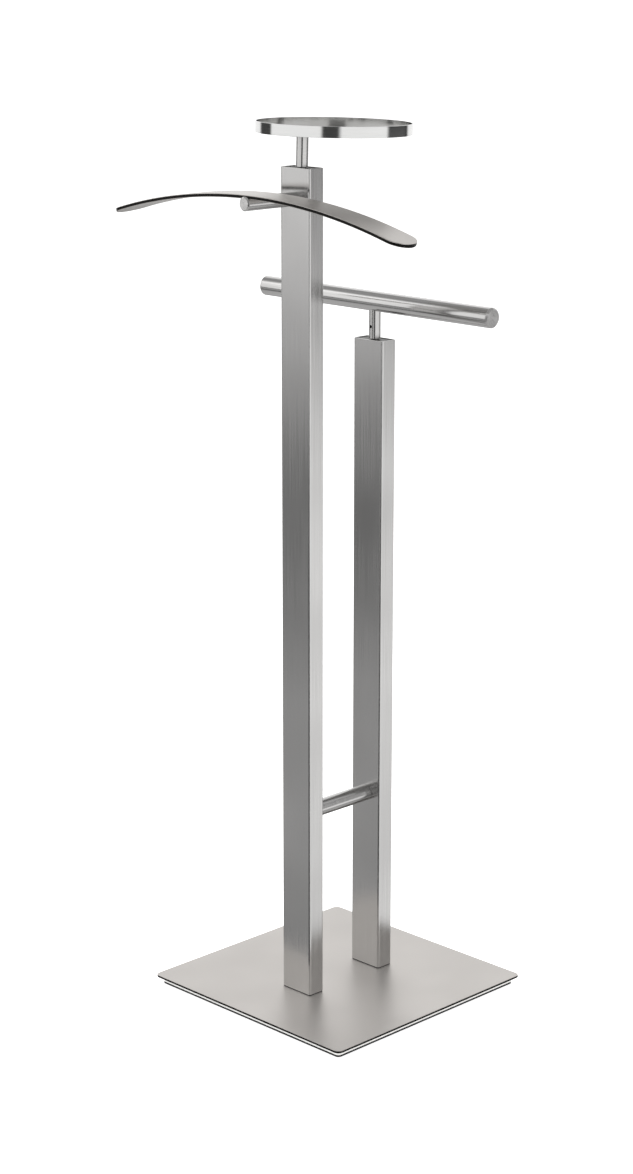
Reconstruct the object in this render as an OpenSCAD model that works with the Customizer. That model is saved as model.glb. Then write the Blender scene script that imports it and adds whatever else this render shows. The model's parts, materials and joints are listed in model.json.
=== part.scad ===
// Valet stand: a weighted square base, a tall post that carries a coat hanger
// and a round tray, and a short post behind it that carries a trouser bar.
// Millimetres. +X runs along the trouser bar, -Y is the front, +Z is up.
// The origin is the middle of the mat's underside, where the stand meets the floor.

/* [Base] */
// Side of the square base plate
base_side = 340; // [280:5:450]
// Radius of the base plate's corners, seen from above
base_corner_r = 8; // [3:0.5:20]
// Thickness of the base plate
base_plate_t = 3; // [3:0.2:8]
// Thickness of the steel ballast plate under the base plate
ballast_t = 6.5; // [1.5:0.1:10]
// Thickness of the anti-slip mat under the ballast plate
mat_t = 2.5; // [1:0.1:5]
// Step in from the base plate's edge to the ballast plate and the mat
under_inset = 7.3; // [3:0.1:20]
// Radius of the ballast plate's and the mat's corners
under_corner_r = 5; // [3:0.5:20]

/* [Posts] */
// Width of both posts, along X
post_w = 50; // [40:1:70]
// Depth of both posts, along Y
post_d = 25; // [20:1:40]
// Wall of the rectangular tube
post_wall = 1.5; // [1:0.1:2.5]
// Outer corner radius of the rectangular tube
post_corner_r = 3; // [2.6:0.1:5]
// Length of the tall post's tube
tall_post_len = 1056; // [850:1:1300]
// Length of the short post's tube
short_post_len = 835; // [650:1:1040]
// Distance between the two posts' centres
post_spacing = 127; // [90:1:200]
// Thickness of the gasket under each post
gasket_t = 0.8; // [0.4:0.1:2]
// Step in from the tube's outline to the gasket's edge
gasket_inset = 0.4; // [0.1:0.1:1]
// Height of the threaded block in each post's foot
foot_block_h = 30; // [20:1:50]
// Height of the plug in each post's top
plug_h = 28; // [20:1:50]
// Depth of the plug's face below the tube's end
plug_recess = 1; // [0:0.1:3]
// Corner radius of the plug, larger than the tube's inside
plug_corner_r = 3.5; // [2:0.1:6]

/* [Hanger] */
// Length of the hanger from tip to tip
hanger_len = 496; // [400:5:640]
// Width of the hanger's strip, which ends in full half rounds
hanger_w = 42.5; // [36:0.5:55]
// Thickness of the hanger's strip
hanger_t = 4.5; // [4:0.1:7]
// Radius of the hanger's bend, to its upper face
hanger_bend_r = 844; // [680:1:1100]
// Diameter of the arm under the hanger
arm_d = 17.2; // [14:0.1:22]
// Reach of the arm from the tall post's front face
arm_reach = 83.5; // [70:1:120]
// Depth of the arm's axis below the tall post's top
arm_drop = 36.7; // [30:1:120]
// Depth of the flat in the arm's top that the hanger is seated on
arm_flat_depth = 2.8; // [1.5:0.1:4]
// Chamfer at the arm's front end
arm_chamfer = 1.6; // [0.5:0.1:3]
// Distance from the arm's front end to the hanger's front edge
hanger_setback = 3.5; // [2:0.5:20]
// Distance between the two screws that hold the hanger
hanger_screw_pitch = 26; // [16:1:34]

/* [Spacer rod] */
// Diameter of the rod between the posts
spacer_d = 21.3; // [17:0.1:30]
// Height of the rod's axis above the posts' feet
spacer_height = 239.5; // [100:1:500]

/* [Swivels] */
// Diameter of the stems under the tray and the trouser bar
stem_d = 15; // [14:0.1:20]
// Diameter of the pins that the stems turn on
pin_d = 10; // [8:0.1:12]
// Height of each pin above its post's top
pin_rise = 26; // [20:0.5:30]
// Height of the grub screw's axis above the post's top
grub_height = 15.5; // [10:0.5:16]
// Diameter of the grub screws
grub_d = 4; // [3:0.5:5]
// Depth of the groove in the pin that the grub screw's tip runs in
groove_depth = 1.2; // [0.8:0.1:2]

/* [Tray] */
// Outside diameter of the tray
tray_d = 191; // [150:0.2:240]
// Height of the tray's rim
rim_h = 13.5; // [11:0.5:30]
// Thickness of the rim's band
rim_t = 1.5; // [1:0.1:4]
// Thickness of the tray's floor
tray_floor_t = 1.5; // [1:0.1:4]
// Height of the floor's underside above the rim's lower edge
tray_floor_lift = 0.5; // [0.2:0.1:6]
// Height of the rim's lower edge above the tall post's top
tray_rise = 38.4; // [37:0.2:80]
// Distance from the tray's stem to the tray's centre
tray_offset = 53; // [0:1:70]
// Lean of the tray's pin and tray away from upright, towards the back
tray_lean = 1.6; // [0:0.1:3]
// Diameter of the flange that carries the tray's floor
flange_d = 40; // [30:1:60]
// Thickness of that flange, which lies under the floor
flange_t = 2.5; // [2:0.1:5]

/* [Trouser bar] */
// Diameter of the trouser bar
bar_d = 25; // [20:0.5:30]
// Overall length of the trouser bar with its end caps
bar_len = 392; // [320:2:500]
// Wall of the bar's tube
bar_wall = 1.5; // [1:0.1:3]
// Height of the bar's axis above the short post's top
bar_rise = 46.9; // [44:0.1:80]
// Thickness of each end cap's head
bar_cap_t = 3; // [2.5:0.1:6]
// Chamfer round each end cap's head
bar_cap_chamfer = 2; // [0.5:0.1:2.2]
// Depth of each end cap's spigot inside the tube
bar_spigot = 12; // [6:1:30]

/* [Fasteners] */
// Diameter of the screws that hold the posts to the base
foot_screw_d = 5; // [4:0.5:5.5]
// Length of those screws, with the countersunk head
foot_screw_len = 20; // [16:1:25]
// Distance between the two foot screws of one post
foot_screw_pitch = 26; // [20:1:27]
// Diameter of the bolts that hold the arm and the spacer rod
bolt_d = 8; // [6:0.5:9]
// Length of thread that those bolts have in the arm and the rod
bolt_grip = 20; // [12:1:30]
// Diameter of the stud between the spacer rod and the tall post
stud_d = 10; // [8:0.5:12]
// Depth of the stud in the spacer rod
stud_grip = 15; // [10:1:30]
// Diameter of the screws that hold the hanger
hanger_screw_d = 5; // [4:0.5:5]
// Diameter of the screw that holds the tray to its stem
tray_screw_d = 6; // [4:0.5:6]

/* [Hidden] */
$fn = 96;

// Clearances
run_gap = 0.05;     // round a pin in the stem that turns on it
fit_gap = 0.05;     // round a thread, a spigot or a welded piece
slide_gap = 0.2;    // between a block or plug and the tube that it sits in
hole_gap = 0.2;     // round a bolt or screw in a clearance hole
turn_gap = 0.4;     // between a turning piece and the fixed one beside it
over = 1;           // how far a cut runs past the face that it opens

// Levels
plate_bottom = mat_t + ballast_t;
base_top = plate_bottom + base_plate_t;
post_foot = base_top + gasket_t;
tall_top = post_foot + tall_post_len;
short_top = post_foot + short_post_len;
arm_z = tall_top - arm_drop;
spacer_z = post_foot + spacer_height;

// Places along Y
tall_y = -post_spacing / 2;
short_y = post_spacing / 2;
arm_end_y = tall_y - post_d / 2 - arm_reach;
hanger_y = arm_end_y + hanger_setback + hanger_w / 2;

// Tube's inside
inner_w = post_w - 2 * post_wall;
inner_d = post_d - 2 * post_wall;
inner_r = post_corner_r - post_wall;

// Screw heads
foot_head_d = 2 * foot_screw_d;
foot_head_h = foot_screw_d / 2;
access_d = foot_head_d + 3;
bolt_head_d = 1.75 * bolt_d;
bolt_head_h = 0.55 * bolt_d;
hanger_head_d = 1.7 * hanger_screw_d;
hanger_head_h = 0.7 * hanger_screw_d;
tray_head_d = 1.8 * tray_screw_d;
tray_head_h = 0.5 * tray_screw_d;
bush_wall = 3;
nut_h = 0.8 * stud_d;
nut_d = 1.8 * stud_d;

// Swivel, with heights above the post's top
stem_bore_top = pin_rise + turn_gap;
grub_tip_r = pin_d / 2 - groove_depth + turn_gap;
grub_head_r = stem_d / 2 - 0.6;
groove_h = grub_d + 2 * turn_gap;

// Tray, with heights above the tall post's top
floor_z = tray_rise + tray_floor_lift;
tray_screw_grip = 9;
washer_t = 1.2;
washer_d = tray_head_d + 6;

// Hanger's seat
seat_z = arm_z + arm_d / 2 - arm_flat_depth;
hanger_hole_depth = hanger_t - 1.5;
hanger_head_z = arm_z - arm_d / 2 + 1;

// Rounded rectangle, centred
module rounded_rect(w, d, r) {
    square([w - 2 * r, d], center = true);
    square([w, d - 2 * r], center = true);
    for (x = [-1, 1], y = [-1, 1])
        translate([x * (w / 2 - r), y * (d / 2 - r)]) circle(r);
}

// Puts its children at each foot screw
module at_foot_screws(y) {
    for (x = [-1, 1]) translate([x * foot_screw_pitch / 2, y, 0]) children();
}

// Puts its children at each hanger screw
module at_hanger_screws() {
    for (s = [-1, 1]) translate([0, hanger_y + s * hanger_screw_pitch / 2, 0]) children();
}

// Turns a piece that points up so that it points to the back, or to the front
module to_back() { rotate([-90, 0, 0]) children(); }
module to_front() { rotate([90, 0, 0]) children(); }

// The tray's leaning frame, with its origin at the tall post's top
module at_tray() { translate([0, tall_y, tall_top]) rotate([-tray_lean, 0, 0]) children(); }

// The trouser bar's frame, with its origin at the short post's top
module at_bar() { translate([0, short_y, short_top]) children(); }

// Hexagon socket that opens at z = 0 and goes up into the piece
module hex_socket(across, depth) {
    translate([0, 0, -over]) cylinder(h = depth + over, d = across, $fn = 6);
}

// Countersunk screw, head down, pointing up
module countersunk_screw(d, head_d, head_h, len) {
    difference() {
        union() {
            cylinder(h = head_h, d1 = head_d, d2 = d);
            cylinder(h = len, d = d);
        }
        hex_socket(0.7 * d, 0.35 * d);
    }
}

// Button head bolt, head down, pointing up from its seat at z = 0
module button_bolt(d, head_d, head_h, len) {
    difference() {
        union() {
            cylinder(h = len, d = d);
            translate([0, 0, -head_h]) cylinder(h = head_h, d1 = 0.7 * head_d, d2 = head_d);
        }
        translate([0, 0, -head_h]) hex_socket(0.6 * d, 0.5 * head_h);
    }
}

// Square plate of the base, with a hole for each foot screw
module under_plate(t, inset, corner_r, hole_d) {
    difference() {
        linear_extrude(t)
            rounded_rect(base_side - 2 * inset, base_side - 2 * inset, corner_r);
        for (y = [tall_y, short_y]) at_foot_screws(y)
            translate([0, 0, -over]) cylinder(h = t + 2 * over, d = hole_d);
    }
}

// Rectangular tube of a post, standing at z = 0
module post_tube(len) {
    linear_extrude(len) difference() {
        rounded_rect(post_w, post_d, post_corner_r);
        rounded_rect(inner_w, inner_d, inner_r);
    }
}

// Threaded block in a post's foot
module foot_block(y) {
    difference() {
        translate([0, y, post_foot]) linear_extrude(foot_block_h)
            rounded_rect(inner_w - 2 * slide_gap, inner_d - 2 * slide_gap, inner_r);
        translate([0, 0, post_foot - over]) at_foot_screws(y)
            cylinder(h = foot_screw_len + over, d = foot_screw_d + 2 * fit_gap);
    }
}

// Gasket between a post and the base plate
module foot_gasket(y) {
    difference() {
        translate([0, y, base_top]) linear_extrude(gasket_t)
            rounded_rect(post_w - 2 * gasket_inset, post_d - 2 * gasket_inset,
                         post_corner_r - gasket_inset);
        translate([0, 0, base_top - over]) at_foot_screws(y)
            cylinder(h = gasket_t + 2 * over, d = foot_screw_d + 2 * hole_gap);
    }
}

// Plug in a post's top, without the bore for its pin
module plug_block(y, top) {
    translate([0, y, top - plug_recess - plug_h]) linear_extrude(plug_h)
        rounded_rect(inner_w - 2 * slide_gap, inner_d - 2 * slide_gap, plug_corner_r);
}

// Bore for a pin, through the plug
module pin_bore() {
    translate([0, 0, -plug_h - plug_recess - 2 * over])
        cylinder(h = plug_h + plug_recess + 4 * over, d = pin_d + 2 * fit_gap);
}

// Pin with the groove that keeps the stem from lifting off
module swivel_pin() {
    groove_bottom = grub_height - groove_h / 2;
    foot = -plug_recess - plug_h + over;
    translate([0, 0, foot]) cylinder(h = groove_bottom - foot, d = pin_d);
    translate([0, 0, groove_bottom]) cylinder(h = groove_h, r = pin_d / 2 - groove_depth);
    translate([0, 0, groove_bottom + groove_h])
        cylinder(h = pin_rise - groove_bottom - groove_h, d = pin_d);
}

// What is bored out of a stem for its pin
module stem_bore() {
    translate([0, 0, turn_gap - over])
        cylinder(h = stem_bore_top - turn_gap + over, r = pin_d / 2 + run_gap);
}

// Threaded hole for a grub screw, pointing up
module grub_hole() {
    cylinder(h = stem_d / 2 + over, d = grub_d + 2 * fit_gap);
}

// Grub screw, pointing up with its socket outwards
module grub_screw() {
    difference() {
        translate([0, 0, grub_tip_r]) cylinder(h = grub_head_r - grub_tip_r, d = grub_d);
        translate([0, 0, grub_head_r - 1.6]) cylinder(h = 1.6 + over, d = 0.6 * grub_d, $fn = 6);
    }
}

// End cap of the trouser bar, with its outer face at z = 0 and its spigot pointing up
module bar_cap() {
    cylinder(h = bar_cap_chamfer, r1 = bar_d / 2 - bar_cap_chamfer, r2 = bar_d / 2);
    translate([0, 0, bar_cap_chamfer]) cylinder(h = bar_cap_t - bar_cap_chamfer, d = bar_d);
    cylinder(h = bar_cap_t + bar_spigot, d = bar_d - 2 * bar_wall - 2 * fit_gap);
}

module base_plate() {
    color("#cdc9c5") translate([0, 0, plate_bottom]) difference() {
        under_plate(base_plate_t, 0, base_corner_r, foot_screw_d + 2 * hole_gap);
        for (y = [tall_y, short_y]) at_foot_screws(y)
            cylinder(h = foot_head_h + fit_gap, d1 = foot_head_d + 2 * fit_gap,
                     d2 = foot_screw_d + 2 * fit_gap);
    }
}

module ballast_plate() {
    color("#bdbdbb") translate([0, 0, mat_t]) under_plate(ballast_t, under_inset, under_corner_r, access_d);
}

module anti_slip_mat() {
    color("#2a2a2b") under_plate(mat_t, under_inset, under_corner_r, access_d);
}

module foot_screws() {
    color("#9a9a9a") for (y = [tall_y, short_y]) at_foot_screws(y)
        translate([0, 0, plate_bottom])
            countersunk_screw(foot_screw_d, foot_head_d, foot_head_h, foot_screw_len);
}

module tall_post() {
    color("#b4b4b4") difference() {
        translate([0, tall_y, post_foot]) post_tube(tall_post_len);
        translate([0, tall_y - post_d, arm_z]) to_back()
            cylinder(h = 2 * post_d, d = bolt_d + 2 * hole_gap);
        translate([0, tall_y, spacer_z]) to_back()
            cylinder(h = post_d, d = stud_d + 2 * hole_gap);
    }
}

module tall_foot_block() { color("#8d8d8d") foot_block(tall_y); }

module tall_foot_gasket() { color("#1c1c1c") foot_gasket(tall_y); }

module tall_plug() {
    color("#8f8f8f") difference() {
        plug_block(tall_y, tall_top);
        at_tray() pin_bore();
    }
}

module short_post() {
    color("#b4b4b4") difference() {
        translate([0, short_y, post_foot]) post_tube(short_post_len);
        translate([0, short_y - post_d, spacer_z]) to_back()
            cylinder(h = 2 * post_d, d = bolt_d + 2 * hole_gap);
    }
}

module short_foot_block() { color("#8d8d8d") foot_block(short_y); }

module short_foot_gasket() { color("#1c1c1c") foot_gasket(short_y); }

module short_plug() {
    color("#8f8f8f") difference() {
        plug_block(short_y, short_top);
        at_bar() pin_bore();
    }
}

module spacer_rod() {
    rod_len = post_spacing - post_d;
    color("#a9a9a9") translate([0, tall_y + post_d / 2, spacer_z]) to_back() difference() {
        cylinder(h = rod_len, d = spacer_d);
        translate([0, 0, -over])
            cylinder(h = stud_grip + 2 * over, d = stud_d + 2 * fit_gap);
        translate([0, 0, rod_len - bolt_grip - over])
            cylinder(h = bolt_grip + 2 * over, d = bolt_d + 2 * fit_gap);
    }
}

module spacer_stud() {
    stud_len = nut_h + post_wall + stud_grip;
    color("#8a8a8a") translate([0, tall_y + inner_d / 2 - nut_h, spacer_z]) to_back()
        cylinder(h = stud_len, d = stud_d);
}

module spacer_nut() {
    color("#8a8a8a") translate([0, tall_y + inner_d / 2 - nut_h, spacer_z]) to_back()
        difference() {
            cylinder(h = nut_h, d = nut_d, $fn = 6);
            translate([0, 0, -over]) cylinder(h = nut_h + 2 * over, d = stud_d + 2 * fit_gap);
        }
}

module post_bolts() {
    color("#969696") {
        translate([0, tall_y + post_d / 2, arm_z]) to_front()
            button_bolt(bolt_d, bolt_head_d, bolt_head_h, post_d + bolt_grip);
        translate([0, short_y + post_d / 2, spacer_z]) to_front()
            button_bolt(bolt_d, bolt_head_d, bolt_head_h, post_d + bolt_grip);
    }
}

module post_bushes() {
    color("#8a8a8a") for (p = [[tall_y, arm_z], [short_y, spacer_z]])
        translate([0, p[0] - inner_d / 2, p[1]]) to_back() difference() {
            cylinder(h = inner_d, d = bolt_d + 2 * hole_gap + 2 * bush_wall);
            translate([0, 0, -over])
                cylinder(h = inner_d + 2 * over, d = bolt_d + 2 * hole_gap);
        }
}

module hanger_arm() {
    color("#a9a9a9") difference() {
        translate([0, tall_y - post_d / 2, arm_z]) to_front() {
            cylinder(h = arm_reach - arm_chamfer, d = arm_d);
            translate([0, 0, arm_reach - arm_chamfer])
                cylinder(h = arm_chamfer, r1 = arm_d / 2, r2 = arm_d / 2 - arm_chamfer);
        }
        translate([-arm_d, hanger_y - hanger_w / 2 - fit_gap, seat_z - fit_gap])
            cube([2 * arm_d, hanger_w + 2 * fit_gap, arm_d]);
        translate([0, tall_y - post_d / 2 + over, arm_z]) to_front()
            cylinder(h = bolt_grip + 2 * over, d = bolt_d + 2 * fit_gap);
        at_hanger_screws() {
            translate([0, 0, arm_z - arm_d])
                cylinder(h = 2 * arm_d, d = hanger_screw_d + 2 * hole_gap);
            translate([0, 0, arm_z - arm_d])
                cylinder(h = hanger_head_z + hanger_head_h - arm_z + arm_d,
                         d = hanger_head_d + 2 * hole_gap);
        }
    }
}

module hanger() {
    half_angle = asin(hanger_len / 2 / hanger_bend_r) + 1;
    color("#bdb8b4") difference() {
        intersection() {
            translate([0, hanger_y, seat_z + hanger_t - hanger_bend_r])
                to_front() rotate([0, 0, 90 - half_angle])
                    rotate_extrude(angle = 2 * half_angle, $fn = 720)
                        translate([hanger_bend_r - hanger_t, -hanger_w])
                            square([hanger_t, 2 * hanger_w]);
            translate([0, hanger_y, seat_z - hanger_len / 2]) linear_extrude(hanger_len) {
                square([hanger_len - hanger_w, hanger_w], center = true);
                for (x = [-1, 1]) translate([x * (hanger_len - hanger_w) / 2, 0])
                    circle(d = hanger_w);
            }
        }
        at_hanger_screws() translate([0, 0, seat_z - over])
            cylinder(h = hanger_hole_depth + over, d = hanger_screw_d + 2 * fit_gap);
    }
}

module hanger_screws() {
    color("#969696") at_hanger_screws() translate([0, 0, hanger_head_z]) difference() {
        union() {
            cylinder(h = hanger_head_h, d = hanger_head_d);
            cylinder(h = seat_z + hanger_hole_depth - 0.2 - hanger_head_z, d = hanger_screw_d);
        }
        hex_socket(0.8 * hanger_screw_d, 0.5 * hanger_head_h);
    }
}

module tray_pin() { color("#8a8a8a") at_tray() swivel_pin(); }

module tray_stem() {
    color("#a9a9a9") at_tray() difference() {
        translate([0, 0, turn_gap]) cylinder(h = floor_z - turn_gap, d = stem_d);
        stem_bore();
        translate([0, 0, grub_height]) to_back() grub_hole();
        translate([0, 0, floor_z - tray_screw_grip - over])
            cylinder(h = tray_screw_grip + 2 * over, d = tray_screw_d + 2 * fit_gap);
    }
}

module tray_grub_screw() {
    color("#3a3a3a") at_tray() translate([0, 0, grub_height]) to_back() grub_screw();
}

module tray_flange() {
    color("#9a9a9a") at_tray() translate([0, 0, floor_z - flange_t]) difference() {
        cylinder(h = flange_t, d = flange_d);
        translate([0, 0, -over]) cylinder(h = flange_t + 2 * over, d = stem_d + 2 * fit_gap);
    }
}

module tray_floor() {
    color("#b9b9b9") at_tray() difference() {
        translate([0, tray_offset, floor_z])
            cylinder(h = tray_floor_t, d = tray_d - 2 * rim_t - 2 * fit_gap, $fn = 180);
        translate([0, 0, floor_z - over])
            cylinder(h = tray_floor_t + 2 * over, d = tray_screw_d + 2 * hole_gap);
    }
}

module tray_rim() {
    color("#c6c6c6") at_tray() translate([0, tray_offset, tray_rise]) difference() {
        cylinder(h = rim_h, d = tray_d, $fn = 180);
        translate([0, 0, -over])
            cylinder(h = rim_h + 2 * over, d = tray_d - 2 * rim_t, $fn = 180);
    }
}

module tray_washer() {
    color("#a0a0a0") at_tray() translate([0, 0, floor_z + tray_floor_t]) difference() {
        cylinder(h = washer_t, d = washer_d);
        translate([0, 0, -over])
            cylinder(h = washer_t + 2 * over, d = tray_screw_d + 2 * hole_gap);
    }
}

module tray_screw() {
    color("#969696") at_tray() translate([0, 0, floor_z + tray_floor_t + washer_t])
        rotate([180, 0, 0])
            button_bolt(tray_screw_d, tray_head_d, tray_head_h,
                        tray_floor_t + washer_t + tray_screw_grip);
}

module bar_pin() { color("#8a8a8a") at_bar() swivel_pin(); }

module bar_stem() {
    color("#a9a9a9") at_bar() difference() {
        translate([0, 0, turn_gap]) cylinder(h = bar_rise - turn_gap, d = stem_d);
        stem_bore();
        translate([0, 0, grub_height]) to_front() grub_hole();
        translate([-stem_d, 0, bar_rise]) rotate([0, 90, 0])
            cylinder(h = 2 * stem_d, d = bar_d + 2 * fit_gap);
    }
}

module bar_grub_screw() {
    color("#3a3a3a") at_bar() translate([0, 0, grub_height]) to_front() grub_screw();
}

module trouser_bar() {
    tube_len = bar_len - 2 * bar_cap_t;
    color("#9d9d9d") at_bar() translate([-tube_len / 2, 0, bar_rise]) rotate([0, 90, 0])
        difference() {
            cylinder(h = tube_len, d = bar_d);
            translate([0, 0, -over])
                cylinder(h = tube_len + 2 * over, d = bar_d - 2 * bar_wall);
        }
}

module bar_cap_left() {
    color("#bcbcbc") at_bar() translate([-bar_len / 2, 0, bar_rise]) rotate([0, 90, 0]) bar_cap();
}

module bar_cap_right() {
    color("#bcbcbc") at_bar() translate([bar_len / 2, 0, bar_rise]) rotate([0, -90, 0]) bar_cap();
}

base_plate();
ballast_plate();
anti_slip_mat();
foot_screws();
tall_post();
tall_foot_block();
tall_foot_gasket();
tall_plug();
short_post();
short_foot_block();
short_foot_gasket();
short_plug();
spacer_rod();
spacer_stud();
spacer_nut();
post_bolts();
post_bushes();
hanger_arm();
hanger();
hanger_screws();
tray_pin();
tray_stem();
tray_grub_screw();
tray_flange();
tray_floor();
tray_rim();
tray_washer();
tray_screw();
bar_pin();
bar_stem();
bar_grub_screw();
trouser_bar();
bar_cap_left();
bar_cap_right();
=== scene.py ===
"""Valet stand in stainless steel: the looks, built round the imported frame.

Every length is in metres and every place is in the frame's own axes: +X along the trouser
bar, -Y towards the coat hanger, +Z up, with the floor at zero.
"""

import json
import logging
import math
from collections.abc import Callable, Sequence
from dataclasses import dataclass, field
from enum import Enum
from typing import Any

import bmesh
import bpy
from mathutils import Matrix, Vector


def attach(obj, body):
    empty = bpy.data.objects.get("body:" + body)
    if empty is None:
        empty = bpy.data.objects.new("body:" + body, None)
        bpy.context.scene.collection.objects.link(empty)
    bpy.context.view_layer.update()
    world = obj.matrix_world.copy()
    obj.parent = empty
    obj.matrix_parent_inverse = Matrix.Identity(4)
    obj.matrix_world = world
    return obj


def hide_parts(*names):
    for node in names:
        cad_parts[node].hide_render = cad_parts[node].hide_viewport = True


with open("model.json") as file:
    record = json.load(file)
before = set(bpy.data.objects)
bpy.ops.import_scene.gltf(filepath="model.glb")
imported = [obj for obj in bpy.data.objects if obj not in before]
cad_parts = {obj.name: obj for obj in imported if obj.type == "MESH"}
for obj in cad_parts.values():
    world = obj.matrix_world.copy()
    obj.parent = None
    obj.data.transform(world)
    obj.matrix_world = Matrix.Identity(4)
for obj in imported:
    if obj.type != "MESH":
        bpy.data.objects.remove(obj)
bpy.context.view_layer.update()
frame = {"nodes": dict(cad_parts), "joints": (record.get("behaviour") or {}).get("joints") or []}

LOG = logging.getLogger("valet_stand")
MM = 0.001
GRAIN_UV = "grain"
Point2 = tuple[float, float]


class Body(Enum):
    """The rigid bodies that a piece can ride on."""

    STAND = "stand"
    TRAY = "tray"
    BAR = "bar"


class Grain(Enum):
    """Which way the fine scratches run on a turned shape."""

    AROUND = "around"
    ALONG = "along"


# ---------------------------------------------------------------- small helpers


def linear(code: str) -> tuple[float, float, float, float]:
    """Turns an sRGB hex colour into a linear one.

    Args:
        code: the colour, such as "#CFCDCB".

    Returns:
        Linear red, green, blue and an alpha of 1.
    """

    def channel(text: str) -> float:
        """Turns one pair of hex digits into a linear value."""
        value = int(text, 16) / 255
        return value / 12.92 if value <= 0.04045 else ((value + 0.055) / 1.055) ** 2.4

    red, green, blue = (channel(code[i : i + 2]) for i in (1, 3, 5))
    return (red, green, blue, 1.0)


def add_node(tree: bpy.types.NodeTree, kind: str, inputs: dict | None = None, **settings: Any):
    """Adds a node with its settings, and sets or links its inputs.

    Args:
        tree: the node tree.
        kind: the node's type name.
        inputs: socket name or index to a value, or to the output socket that feeds it.
        settings: the node's own properties.

    Returns:
        The new node.
    """
    made = tree.nodes.new(kind)
    for name, value in settings.items():
        setattr(made, name, value)
    for name, value in (inputs or {}).items():
        if isinstance(value, bpy.types.NodeSocket):
            tree.links.new(value, made.inputs[name])
        else:
            made.inputs[name].default_value = value
    return made


def extent(name: str, place: Matrix | None = None) -> tuple[Vector, Vector]:
    """Measures a node of the frame, in its own axes where it leans.

    Args:
        name: the node.
        place: the axes to measure in, or None for the frame's.

    Returns:
        The lowest and the highest corner.
    """
    back = (place or Matrix.Identity(4)).inverted()
    points = [back @ v.co for v in frame["nodes"][name].data.vertices]
    low = Vector([min(p[i] for p in points) for i in range(3)])
    high = Vector([max(p[i] for p in points) for i in range(3)])
    return low, high


def frame_on(origin: Vector, up: Vector) -> Matrix:
    """Makes axes whose Z points along up and whose X stays as near to +X as it can."""
    z_axis = up.normalized()
    y_axis = z_axis.cross(Vector((1, 0, 0))).normalized()
    x_axis = y_axis.cross(z_axis)
    place = Matrix((x_axis, y_axis, z_axis)).transposed().to_4x4()
    place.translation = origin
    return place


# ---------------------------------------------------------------- mesh making


class Shell:
    """A mesh under construction that keeps a grain map: U across the scratches, V along them."""

    def __init__(self) -> None:
        """Starts an empty mesh."""
        self.mesh = bmesh.new()
        self.uv = self.mesh.loops.layers.uv.new(GRAIN_UV)

    def face(self, points: Sequence[bmesh.types.BMVert], grain: Sequence[Point2]) -> None:
        """Adds one face.

        Args:
            points: its corners, in order.
            grain: the grain map's place of each corner.
        """
        made = self.mesh.faces.new(points)
        made.smooth = True
        for loop, place in zip(made.loops, grain):
            loop[self.uv].uv = place

    def skin(
        self,
        rings: Sequence[Sequence[Vector]],
        across: Sequence[float],
        along: Sequence[float],
        swap: bool = False,
        closed: bool = False,
    ) -> None:
        """Joins closed rings of points with quads.

        Args:
            rings: rings of the same number of points, from one end to the other.
            across: the length round a ring at each point, with the closing point's too.
            along: the length from ring to ring at each ring.
            swap: True where the scratches run round the rings.
            closed: True where the last ring joins the first.
        """
        made = [[self.mesh.verts.new(p) for p in ring] for ring in rings]
        count = len(made[0])
        spans = len(made) if closed else len(made) - 1
        for i in range(spans):
            low, high = made[i], made[(i + 1) % len(made)]
            for j in range(count):
                k = (j + 1) % count
                uv = [
                    (across[j], along[i]),
                    (across[j + 1], along[i]),
                    (across[j + 1], along[i + 1]),
                    (across[j], along[i + 1]),
                ]
                grain = [(v, u) for u, v in uv] if swap else uv
                self.face([low[j], low[k], high[k], high[j]], grain)

    def piece(
        self,
        name: str,
        finish: bpy.types.Material,
        place: Matrix | None = None,
    ) -> bpy.types.Object:
        """Ends the mesh and makes its object.

        Args:
            name: the piece's name.
            finish: its material.
            place: where the mesh goes, which is put into its points.

        Returns:
            The object, at the origin.
        """
        bmesh.ops.remove_doubles(self.mesh, verts=self.mesh.verts, dist=1e-7)
        bmesh.ops.recalc_face_normals(self.mesh, faces=self.mesh.faces)
        if place is not None:
            self.mesh.transform(place)
        data = bpy.data.meshes.new(name)
        self.mesh.to_mesh(data)
        self.mesh.free()
        data.materials.append(finish)
        made = bpy.data.objects.new(name, data)
        bpy.context.scene.collection.objects.link(made)
        return made


def arc(centre: Point2, radius: float, start: float, end: float, steps: int) -> list[Point2]:
    """Lists points on an arc.

    Args:
        centre: its centre.
        radius: its radius.
        start: its first angle, in degrees.
        end: its last angle, in degrees.
        steps: how many spans it has.

    Returns:
        The points, ends included.
    """
    angles = [math.radians(start + (end - start) * i / steps) for i in range(steps + 1)]
    return [(centre[0] + radius * math.cos(a), centre[1] + radius * math.sin(a)) for a in angles]


def rounded_outline(width: float, depth: float, radius: float, steps: int) -> list[Point2]:
    """Lists the outline of a centred rectangle with round corners, counter-clockwise."""
    x, y = width / 2 - radius, depth / 2 - radius
    outline: list[Point2] = []
    for centre, start in (((x, y), 0), ((-x, y), 90), ((-x, -y), 180), ((x, -y), 270)):
        outline += arc(centre, radius, start, start + 90, steps)
    return outline


def lengths(points: Sequence[Sequence[float]], closed: bool) -> list[float]:
    """Adds up the distances along a line of points, back to the first where it is closed."""
    ends = [*points, points[0]] if closed else list(points)
    total = [0.0]
    for a, b in zip(ends, ends[1:]):
        total.append(total[-1] + math.dist(a, b))
    return total


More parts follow.
